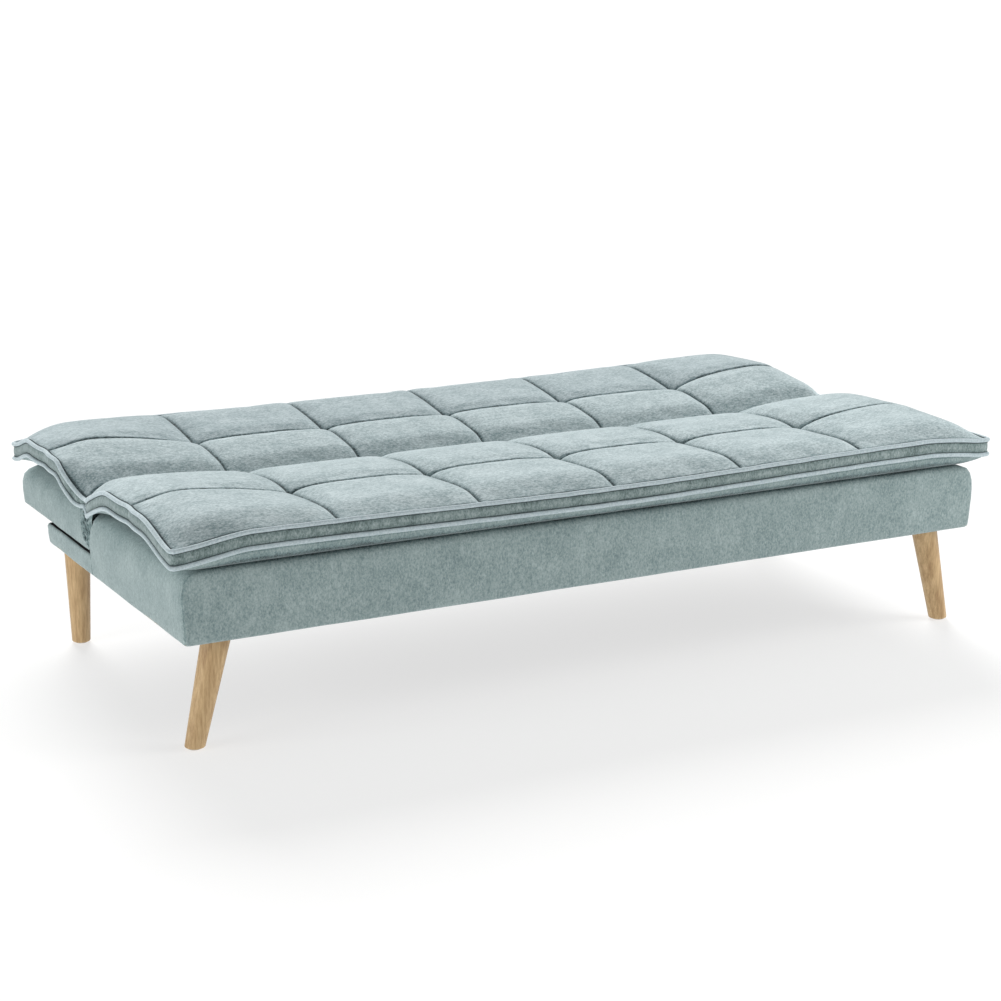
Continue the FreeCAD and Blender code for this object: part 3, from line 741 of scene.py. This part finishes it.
for k, vertex in enumerate(result.vertices):
    move = vertex.co - points[k]
    furthest = max(furthest, move.length)
    if move.length > swell_cap:
        move *= swell_cap / move.length
    x, y = grid_x[k % columns], grid_y[k // columns]
    free = min(seam_distance(x, column_seams), seam_distance(y, row_seams), to_end(x), to_side(y))
    swollen[k] = points[k] + move * smooth_step(free / stitched_reach)
print("the panel swells by up to", round(furthest / MM, 1), "mm")
scene.frame_set(1)
bpy.data.objects.remove(panel)
print("points held by stitches:", len(held))

# %% [markdown]
# ### Boxing and lower panel
#
# The boxing strip is gathered at the crease, so it carries upright puckers there, and it bellies out a little
# between its two piped seams. It is made as rings of points that hang below the rim of the top panel.

# %% Hang the boxing from the rim
boxing_rows = 4
pucker_mm, pucker_seed = 12.0, 3.0
plain_pucker, gathered_pucker = 0.2, 1.4
gather_from, gather_fade = 0.02, 0.07
belly_depth, pucker_depth = 0.0042, 0.0050
piping_shade, pucker_shade = 0.3, 2.2
points = swollen
for row in range(1, boxing_rows + 1):
    down = row / boxing_rows
    for k in rim:
        i, j = k % columns, k // columns
        x, y = outline(grid_x[i], grid_y[j])
        height = edge_line(grid_x[i], grid_y[j])
        side = Vector((math.copysign(1.0, x) if i in (0, columns - 1) else 0.0,
                       math.copysign(1.0, y) if j in (0, rows - 1) else 0.0, 0.0)).normalized()
        gathered = 1.0 - smooth_step((abs(y - crease_y) - gather_from) / gather_fade)
        pucker = ripple((x, y, 0.0), pucker_mm, pucker_seed) * (plain_pucker + gathered_pucker * gathered)
        belly = (belly_depth + pucker_depth * pucker) * math.sin(math.pi * down)
        points.append(Vector((x, y, height - boxing_depth(grid_y[j]) * down)) + side * belly)
        # Painted shade: the boxing is darkened in the grooves beside each cord, fully at its lower seam, and in
        # the hollows of its puckers.
        beside_piping = {1: piping_shade, boxing_rows - 1: piping_shade, boxing_rows: 1.0}.get(row, 0.0)
        pile.append(min(beside_piping + max(-pucker_shade * pucker, 0.0), 1.0))
print("boxing points:", len(points) - top_count)

# %% [markdown]
# The lower panel has the same grid as the top one. Its rim is the last ring of the boxing, so the cover is one
# closed bag, and only the points inside the rim are new. lower_index says which point each grid place uses.

# %% Add the lower panel
lower_index = {}
for j in range(rows):
    for i in range(columns):
        k = j * columns + i
        if i in (0, columns - 1) or j in (0, rows - 1):
            lower_index[k] = top_count + (boxing_rows - 1) * len(rim) + rim.index(k)
        else:
            lower_index[k] = len(points)
            points.append(Vector((*outline(grid_x[i], grid_y[j]), under_height(grid_x[i], grid_y[j]))))
            pile.append(painted_shade_under(grid_x[i], grid_y[j]))
print("points of the whole mattress:", len(points))

# %% [markdown]
# Faces join neighbouring points: the boxing ring by ring, then the lower panel square by square, wound the
# other way round so that its faces look down.

# %% Join the panels with the boxing
for row in range(boxing_rows):
    for n in range(len(rim)):
        after = (n + 1) % len(rim)
        if row == 0:
            a, b = rim[n], rim[after]
        else:
            a, b = (top_count + (row - 1) * len(rim) + m for m in (n, after))
        c, d = (top_count + row * len(rim) + m for m in (after, n))
        faces.append((b, a, d, c))
for j in range(rows - 1):
    for i in range(columns - 1):
        a = j * columns + i
        faces.append(tuple(lower_index[k] for k in (a, a + columns, a + columns + 1, a + 1)))
mattress = make_piece("quilted_mattress", points, faces, mattress_cloth)
record_pressed_and_shade(mattress, pile)
print("faces before rounding:", len(faces))

# %% [markdown]
# The faces were made in order, the top panel first, then the boxing and then the lower panel, so a face's
# number says which cloth it is cut from.

# %% Cut each part from its own cloth
for cloth_material in (boxing_cloth, box_cloth, rear_row_cloth):
    mattress.data.materials.append(cloth_material)
boxing_slot, lower_slot, rear_row_slot = 1, 2, 3
panel_faces = (columns - 1) * (rows - 1)
boxing_faces = boxing_rows * len(rim)
for number, polygon in enumerate(mattress.data.polygons):
    if number >= panel_faces + boxing_faces:
        polygon.material_index = lower_slot
    elif number >= panel_faces:
        polygon.material_index = boxing_slot
    elif polygon.center.y > row_seams[3]:
        polygon.material_index = rear_row_slot
print("cloths of the mattress:", [slot.name for slot in mattress.material_slots])

# %% [markdown]
# One subdivision rounds the mesh off. The seams keep their sharp valley, because their edges are creased.

# %% Sharp seams and one subdivision
shape = bmesh.new()
shape.from_mesh(mattress.data)
crease_layer = shape.edges.layers.float.new("crease_edge")
seam_sharpness = 0.9
for edge in shape.edges:
    a, b = (v.index for v in edge.verts)
    if a in held and b in held:
        same_row = a // columns == b // columns and (a // columns) in seam_rows[1:-1]
        same_column = a % columns == b % columns and (a % columns) in seam_columns[1:-1]
        if same_row or same_column:
            edge[crease_layer] = seam_sharpness
shape.to_mesh(mattress.data)
shape.free()
smoother = mattress.modifiers.new("smoother", "SUBSURF")
smoother.levels = 1
smoother.render_levels = 1
apply_modifiers(mattress)
print("mattress faces:", len(mattress.data.polygons))

# %% [markdown]
# ## Piping
#
# Two cords run right round the mattress, one in each seam of the boxing. Each is a tube swept along the edge
# line. A light wobble keeps it from looking drawn with a ruler. A tube swept in code can follow the edge line
# exactly, which a bevelled curve with few control points wouldn't.

# %% Sweep the piping
piping_radius = 4.3 * MM
cord_step = 0.006
tube_sides = 10
cord_wobble, cord_wobble_mm = 0.0008, 45.0


def edge_path():
    """Places round the mattress edge, on the square outline, every cord_step."""
    places = []
    front = [(-half_length, front_edge), (half_length, front_edge)]
    corners = front + [(half_length, rear_edge), (-half_length, rear_edge)]
    for k in range(4):
        (x0, y0), (x1, y1) = corners[k], corners[(k + 1) % 4]
        steps = round(math.hypot(x1 - x0, y1 - y0) / cord_step)
        places += [(x0 + (x1 - x0) * n / steps, y0 + (y1 - y0) * n / steps) for n in range(steps)]
    return places


def sweep_tubes(name, paths, radius, material, closed=False, sides=tube_sides):
    """One piece of tubes along paths. A closed path joins up, and an open one ends in flat caps."""
    tube_points, tube_faces = [], []
    for path in paths:
        start, count = len(tube_points), len(path)
        for n in range(count):
            ahead = path[(n + 1) % count] if closed or n < count - 1 else path[n]
            behind = path[n - 1] if closed or n else path[n]
            along_path = (ahead - behind).normalized()
            level = along_path.cross(Vector((0.0, 0.0, 1.0)))
            level = level.normalized() if level.length > 0.2 else Vector((1.0, 0.0, 0.0))
            upward = level.cross(along_path)
            for k in range(sides):
                angle = 2.0 * math.pi * k / sides
                tube_points.append(path[n] + (level * math.cos(angle) + upward * math.sin(angle)) * radius)
        for n in range(count if closed else count - 1):
            for k in range(sides):
                a, b = start + n * sides + k, start + n * sides + (k + 1) % sides
                c, d = (start + ((n + 1) % count) * sides + m % sides for m in (k + 1, k))
                tube_faces.append((a, d, c, b))
        if not closed:
            tube_faces.append(tuple(start + k for k in range(sides)))
            tube_faces.append(tuple(start + (count - 1) * sides + k for k in reversed(range(sides))))
    return make_piece(name, tube_points, tube_faces, material)


def piping(name, share):
    """One cord round the edge, in the top seam of the boxing at share 0 and the lower one at share 1."""
    path = []
    for x, y in edge_path():
        px, py = outline(x, y)
        outward = Vector((px, py, 0.0)) - Vector((px * 0.97, py * 0.95, 0.0))
        wobble = cord_wobble * ripple((px, py, 0.03 * share), cord_wobble_mm, 5.0)
        height = edge_line(x, y) - share * boxing_depth(y) + wobble
        path.append(Vector((px, py, height)) + outward.normalized() * seam_pinch)
    return sweep_tubes(name, [path], piping_radius, piping_cloth, closed=True)


top_piping = piping("piping_top", 0.0)
lower_piping = piping("piping_bottom", 1.0)
print("length of one cord:", round(len(edge_path()) * cord_step, 2), "m")

# %% [markdown]
# ## Quilting seams
#
# The seams are closed by a dark grey-green polyester thread that lies at the bottom of each valley. The
# valley is narrow, so all that shows of it is a fine dark line. The real thread is 0.4 mm thick, and it is
# drawn 2.2 mm thick and dark so that it shows, and so that it also paints the shadow in the valley. The boxing
# strip is joined at the four corners with the same thread.

# %% Thread
thread_and_shade_finish = finish("grey_polyester_thread", "#455254", "#5E6D6F", 1.5, 0.8, bump_mm=0.2, IOR=1.5)
thread_radius = 1.1 * MM
thread_lift = 0.9 * MM
corner_seam_out = 0.0012
thread_paths = []
for y in row_seams[1:-1]:
    thread_paths.append([Vector((*outline(x, y), top_height(x, y) + thread_lift)) for x in grid_x])
for x in column_seams[1:-1]:
    thread_paths.append([Vector((*outline(x, y), top_height(x, y) + thread_lift)) for y in grid_y])
for x in (-half_length, half_length):
    for y in (front_edge, rear_edge):
        corner = Vector((*outline(x, y), edge_line(x, y)))
        outward = Vector((math.copysign(corner_seam_out, x), math.copysign(corner_seam_out, y), 0.0))
        thread_paths.append([corner + outward - Vector((0.0, 0.0, full_boxing_depth * n / 6)) for n in range(7)])
quilting_thread_and_shade = sweep_tubes("quilting_thread_and_shade", thread_paths, thread_radius, thread_and_shade_finish, sides=6)
print("seams sewn:", len(thread_paths))

# %% [markdown]
# The piping is sewn in close beside the cord: one row of stitches on the top panel, one on the boxing under
# the upper cord and one over the lower cord. Each sinks beside its cord and shows as a finer dark line, which
# also paints the shade in the groove beside the cord.

# %% Stitches beside the piping
stitch_radius = 0.8 * MM
stitch_inset = 6.0 * MM
stitch_out_mm, stitch_drop_mm = 2.6, 5.4
panel_stitches, upper_stitches, lower_stitches = [], [], []
for x, y in edge_path():
    inner_x = max(min(x, half_length - stitch_inset), stitch_inset - half_length)
    inner_y = max(min(y, rear_edge - stitch_inset), front_edge + stitch_inset)
    place = Vector((*outline(inner_x, inner_y), top_height(inner_x, inner_y) + stitch_radius))
    if not panel_stitches or (place - panel_stitches[-1]).length > cord_step / 2:
        panel_stitches.append(place)
    px, py = outline(x, y)
    outward = Vector((px * 0.03, py * 0.05, 0.0)).normalized() * stitch_out_mm * MM
    upper_stitches.append(Vector((px, py, edge_line(x, y) - stitch_drop_mm * MM)) + outward)
    lower_stitches.append(Vector((px, py, edge_line(x, y) - boxing_depth(y) + stitch_drop_mm * MM)) + outward)
stitch_paths = [panel_stitches, upper_stitches, lower_stitches]
piping_stitches_and_shade = sweep_tubes("piping_stitches_and_shade", stitch_paths, stitch_radius, thread_and_shade_finish, closed=True, sides=6)
print("rows of stitches beside the piping:", len(stitch_paths))

# %% [markdown]
# ## Box covers
#
# Three boxes carry the mattress: the seat box, the low ledge behind it, and the back box that lies over the
# ledge. Each is a pine frame with thin foam and the same chenille stretched over it. The cloth is stretched
# tight, so the faces are almost flat, but the foam rounds every edge, and the ends pull in a little towards
# the bottom. Each cover is lofted through level rings and turned inside to lie on the frame. What the mattress
# or the back box hides is black dust cloth, not chenille, and its black also paints the shadow in the slot above
# the ledge. The foam gives the faces broad low lumps with smaller ones on them. Just below the mattress the
# cloth is darkened as painted shade, and along the upright corner seams the pile is pressed flat, which shows
# them darker.

# %% Loft one cover through its rings
long_side_steps, short_side_step, corner_steps = 110, 0.016, 6
broad_lump, broad_lump_mm = 0.0016, 130.0
small_lump, small_lump_mm = 0.0006, 38.0
shade_below_top, shade_top_fade = 0.007, 0.005
corner_seam_shade, corner_seam_width, corner_seam_top = 0.4, 0.3, 0.34


def ring(half, y_front, y_rear, z, radii, counts):
    """Points round a rectangle with rounded corners at one height, each with its way out.
    radii are those of the front and rear corners, and counts the steps along the long and short sides."""
    ways = [Vector((1, 0, 0)), Vector((0, 1, 0)), Vector((-1, 0, 0)), Vector((0, -1, 0))]
    corners = [Vector((-half, y_front, z)), Vector((half, y_front, z))]
    corners += [Vector((half, y_rear, z)), Vector((-half, y_rear, z))]
    rounding = [radii[0], radii[0], radii[1], radii[1]]
    placed = []
    for k in range(4):
        out = Vector((ways[k].y, -ways[k].x, 0.0))
        first = corners[k] + ways[k] * rounding[k]
        last = corners[(k + 1) % 4] - ways[k] * rounding[(k + 1) % 4]
        placed += [(first.lerp(last, n / counts[k % 2]), out) for n in range(counts[k % 2] + 1)]
        centre = last - out * rounding[(k + 1) % 4]
        for n in range(1, corner_steps):
            turn = math.radians(90.0 * n / corner_steps)
            outward = out * math.cos(turn) + ways[k] * math.sin(turn)
            placed.append((centre + outward * rounding[(k + 1) % 4], outward))
    return placed


def box_cover(name, half, y_front, y_rear, profile, lining, seed):
    """A cover lofted through rings (z, front, rear and end insets, front and rear corner radii).
    The rings of the profile get soft lumps, and those of the lining lie inside on the frame."""
    cover_points, cover_faces, pile = [], [], []
    counts = (long_side_steps, max(2, round((y_rear - y_front) / short_side_step)))
    for number, (z, front_in, rear_in, end_in, *radii) in enumerate(profile + lining):
        for place, outward in ring(half - end_in, y_front + front_in, y_rear - rear_in, z, radii, counts):
            lump = broad_lump * ripple(place, broad_lump_mm, seed)
            lump += small_lump * ripple(place, small_lump_mm, seed + 9.0)
            cover_points.append(place + outward * (lump if number < len(profile) else 0.0))
            # Painted shade just below the top, where the mattress rests; pressed pile along the corner seams.
            shade_under_mattress = smooth_step((z - box_top + shade_below_top) / shade_top_fade)
            at_corner = abs(abs(outward.x) - abs(outward.y)) < corner_seam_width and z < corner_seam_top
            pile.append(max(shade_under_mattress, corner_seam_shade if at_corner else 0.0))
    levels = len(profile) + len(lining)
    count = len(cover_points) // levels
    for level in range(levels - 1):
        for n in range(count):
            a, b = level * count + n, level * count + (n + 1) % count
            cover_faces.append((a, b, b + count, a + count))
    cover_faces.append(tuple(reversed(range(count))))
    cover_faces.append(tuple(range((levels - 1) * count, levels * count)))
    cover = make_piece(name, cover_points, cover_faces, box_cloth)
    record_pressed_and_shade(cover, pile)
    # The top and bottom faces are black dust cloth, whose black also paints the shadow in the slot above the
    # ledge.
    cover.data.materials.append(dust_cloth)
    for polygon in cover.data.polygons[-2:]:
        polygon.material_index = 1
    print(name, "is lofted through", levels, "rings of", count, "points")
    return cover


print("upholstered boxes are", round(box_top / MM), "mm high")

# %% [markdown]
# The outer rings run from the top down, and a face closes the top one. The lining goes back up inside the
# frame, and its last ring is closed over the springs, at the underside of the deck pad.

# %% Seat box
seat_box_low, seat_box_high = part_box("seat_border_left")[0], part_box("seat_deck_pad")[1]
box_half = seat_box_high.x
seat_box_overhang = 0.010
seat_box_rear = seat_high.y + seat_box_overhang
deck_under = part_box("seat_deck_pad")[0].z
lining_gap = 0.0045
seat_profile = [
    (0.3500, 0.020, 0.026, 0.062, 0.010, 0.020),
    (0.3488, 0.012, 0.018, 0.044, 0.010, 0.024),
    (0.3450, 0.005, 0.011, 0.028, 0.010, 0.025),
    (0.3380, 0.001, 0.008, 0.010, 0.010, 0.025),
    (0.3280, -0.001, 0.005, 0.003, 0.009, 0.021),
    (0.3120, -0.002, 0.003, -0.001, 0.008, 0.017),
    (0.2950, -0.002, 0.001, -0.002, 0.008, 0.012),
    (0.2750, -0.002, 0.000, -0.001, 0.008, 0.004),
    (0.2550, -0.001, 0.000, 0.000, 0.008, 0.004),
    (0.2400, -0.001, 0.000, 0.001, 0.008, 0.003),
    (0.2250, 0.000, 0.000, 0.002, 0.008, 0.003),
    (0.2150, 0.001, 0.001, 0.003, 0.008, 0.003),
    (0.2110, 0.004, 0.002, 0.006, 0.008, 0.003),
]
seat_lining = [
    (0.2103, 0.014, 0.004, 0.014, 0.004, 0.002),
    (0.2112, 0.014, 0.004, 0.014, 0.004, 0.002),
    (0.2122, 0.006, 0.004, 0.006, 0.004, 0.002),
    (deck_under + 0.0005, lining_gap, lining_gap, lining_gap, 0.002, 0.002),
]
seat_cover = box_cover("seat_box_cover", box_half, seat_box_low.y, seat_box_rear, seat_profile, seat_lining, 1.0)

# %% [markdown]
# The ledge is a low shelf that runs on behind the seat box. Its front is hidden against that box, so only its
# top, its ends and its rear edge are rounded.

# %% Ledge behind the seat box
ledge_low, ledge_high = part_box("ledge_border_left")[0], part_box("ledge_cover")[1]
ledge_profile = [
    (0.2545, 0.000, 0.008, 0.0035, 0.002, 0.010),
    (0.2538, 0.000, 0.004, 0.001, 0.002, 0.010),
    (0.2490, 0.000, 0.000, 0.000, 0.002, 0.010),
    (0.2420, 0.000, -0.001, 0.001, 0.002, 0.010),
    (0.2320, 0.000, -0.001, 0.001, 0.002, 0.010),
    (0.2230, 0.000, 0.000, 0.002, 0.002, 0.010),
    (0.2150, 0.000, 0.001, 0.003, 0.002, 0.010),
    (0.2110, 0.000, 0.004, 0.006, 0.002, 0.010),
]
ledge_lining = [
    (0.2103, 0.001, 0.014, 0.014, 0.001, 0.004),
    (0.2112, 0.001, 0.014, 0.014, 0.001, 0.004),
    (0.2122, 0.001, 0.006, 0.006, 0.001, 0.002),
    (ledge_high.z - 0.0028, 0.001, lining_gap, lining_gap, 0.001, 0.002),
]
ledge_cover = box_cover("ledge_box_cover", box_half, ledge_low.y, ledge_high.y, ledge_profile, ledge_lining, 4.0)

# %% [markdown]
# The back box is a shallower tray of the same make. Its front corners are rounded off more and more towards
# the top, as are the rear ones of the seat box, which leaves the wedge at each end that lets it turn. It has no
# lining, because its last ring is closed by the underside panel.

# %% Back box
back_box_low, back_box_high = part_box("back_border_left")[0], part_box("back_deck_pad")[1]
back_profile = [
    (0.3500, 0.036, 0.034, 0.060, 0.020, 0.012),
    (0.3480, 0.028, 0.026, 0.042, 0.034, 0.014),
    (0.3430, 0.018, 0.016, 0.024, 0.036, 0.014),
    (0.3350, 0.008, 0.007, 0.010, 0.034, 0.012),
    (0.3250, 0.002, 0.002, 0.002, 0.023, 0.010),
    (0.3100, 0.000, 0.000, -0.001, 0.023, 0.009),
    (0.2940, 0.000, -0.001, -0.001, 0.023, 0.008),
    (0.2800, 0.000, 0.000, 0.000, 0.014, 0.007),
    (0.2680, 0.000, 0.000, 0.001, 0.008, 0.006),
    (0.2620, 0.001, 0.001, 0.002, 0.006, 0.005),
    (0.2608, 0.003, 0.003, 0.004, 0.004, 0.004),
]
back_cover = box_cover("back_box_cover", box_half, back_box_low.y, back_box_high.y, back_profile, [], 7.0)

# %% [markdown]
# ## Hinge gussets
#
# At each end the wedge between the seat box and the back box is closed by a gathered gusset of the same
# cloth, sewn to both boxes, so that fingers stay out of the hinge. It fans open when the backrest rises. It is
# a wedge of points, narrow at the foot and wide at the top, with its folds and finer crumples from noise. The
# folds are darkened as painted shade, and the whole gusset a little, for the shade deep in the hinge. The
# modifier then gives the cloth its thickness.

# %% Gathered gussets
gusset_low, gusset_high = 0.268, 0.350
seat_sewn, seat_lean = 0.040, 0.027
back_sewn, back_lean, full_width_at = 0.042, 0.048, 0.4
cloth_thick = 0.0012
fold_depth, fold_mm = 0.0045, 12.0
crumple_depth, crumple_mm = 0.0012, 5.5
hollow_depth, hollow_from, hollow_fade = 0.005, 0.060, 0.025
fold_shade, crumple_shade, plain_shade = 3.2, 0.5, 0.15


def gusset(name, side):
    """A crumpled wedge between the two boxes at one end. side is -1 at the left and 1 at the right."""
    folds, levels = 48, 56
    cloth_points, cloth_faces, pile = [], [], []
    for level in range(levels + 1):
        t = level / levels
        z = gusset_low + (gusset_high - gusset_low) * t
        y0 = seat_sewn - seat_lean * t
        y1 = back_sewn + back_lean * math.sin(math.pi / 2.0 * min(t / full_width_at, 1.0))
        for n in range(folds + 1):
            s = n / folds
            span = math.sin(math.pi * s) ** 0.5
            y = y0 + (y1 - y0) * s
            fold = ripple((0.0, y * 1.3, z * 0.9), fold_mm, 11.0 + side)
            fine = ripple((0.0, y, z), crumple_mm, 21.0 + side)
            hollow = hollow_depth * smooth_step((hollow_from - y) / hollow_fade) * span
            ridge = (fold_depth * (1.0 - 2.5 * abs(fold)) + crumple_depth * fine) * span
            cloth_points.append(Vector((side * (box_half + cloth_thick - hollow + max(ridge, -0.001)), y, z)))
            # Painted shade in the folds, and a little over the whole gusset.
            pressed_and_shade = fold_shade * abs(fold) + crumple_shade * fine + plain_shade
            pile.append(min(max(pressed_and_shade, 0.0), 1.0) * span)
    for level in range(levels):
        for n in range(folds):
            a = level * (folds + 1) + n
            quad = (a, a + 1, a + folds + 2, a + folds + 1)
            cloth_faces.append(quad if side > 0 else tuple(reversed(quad)))
    piece = make_piece(name, cloth_points, cloth_faces, box_cloth)
    record_pressed_and_shade(piece, pile)
    thicker = piece.modifiers.new("thickness", "SOLIDIFY")
    thicker.thickness = cloth_thick
    apply_modifiers(piece)
    return piece


gusset_left = gusset("hinge_gusset_left", -1.0)
gusset_right = gusset("hinge_gusset_right", 1.0)
print("gusset faces:", len(gusset_left.data.polygons), len(gusset_right.data.polygons))

# %% [markdown]
# ## Floor
#
# A plain pale floor, lit softly from inside and large enough to fill the view. Lighting it from inside keeps
# the shadow of the sofa bed faint, as on a studio's light table.

# %% Floor
floor_finish, _, floor_shader = new_material("pale_studio_floor", 0.9, IOR=1.5)
floor_shader.inputs["Base Color"].default_value = linear("#9A9A99")
floor_shader.inputs["Emission Color"].default_value = (1.0, 1.0, 1.0, 1.0)
floor_shader.inputs["Emission Strength"].default_value = 0.68
floor_reach = 80.0
floor_corners = [(sx * floor_reach, sy * floor_reach, 0.0) for sx, sy in ((-1, -1), (1, -1), (1, 1), (-1, 1))]
floor = make_piece("studio_floor", floor_corners, [(0, 1, 2, 3)], floor_finish)
print("floor", 2 * floor_reach, "m across")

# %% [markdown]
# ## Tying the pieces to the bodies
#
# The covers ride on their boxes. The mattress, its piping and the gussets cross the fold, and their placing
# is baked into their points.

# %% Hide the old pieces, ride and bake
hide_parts("seat_mattress", "back_mattress")
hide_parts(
    "seat_border_front", "seat_border_left", "seat_border_right", "seat_border_rear", "seat_deck_pad"
)
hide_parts("ledge_border_left", "ledge_border_right", "ledge_border_rear", "ledge_cover")
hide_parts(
    "back_border_left", "back_border_right", "back_border_top", "back_border_bottom",
    "back_deck_pad", "back_panel",
)
for cover, body in ((seat_cover, "base"), (ledge_cover, "base"), (back_cover, "backrest")):
    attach(cover, body)
for piece in (gusset_left, gusset_right):
    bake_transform(piece)
for piece in (mattress, top_piping, lower_piping, quilting_thread_and_shade, piping_stitches_and_shade):
    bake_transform(piece)
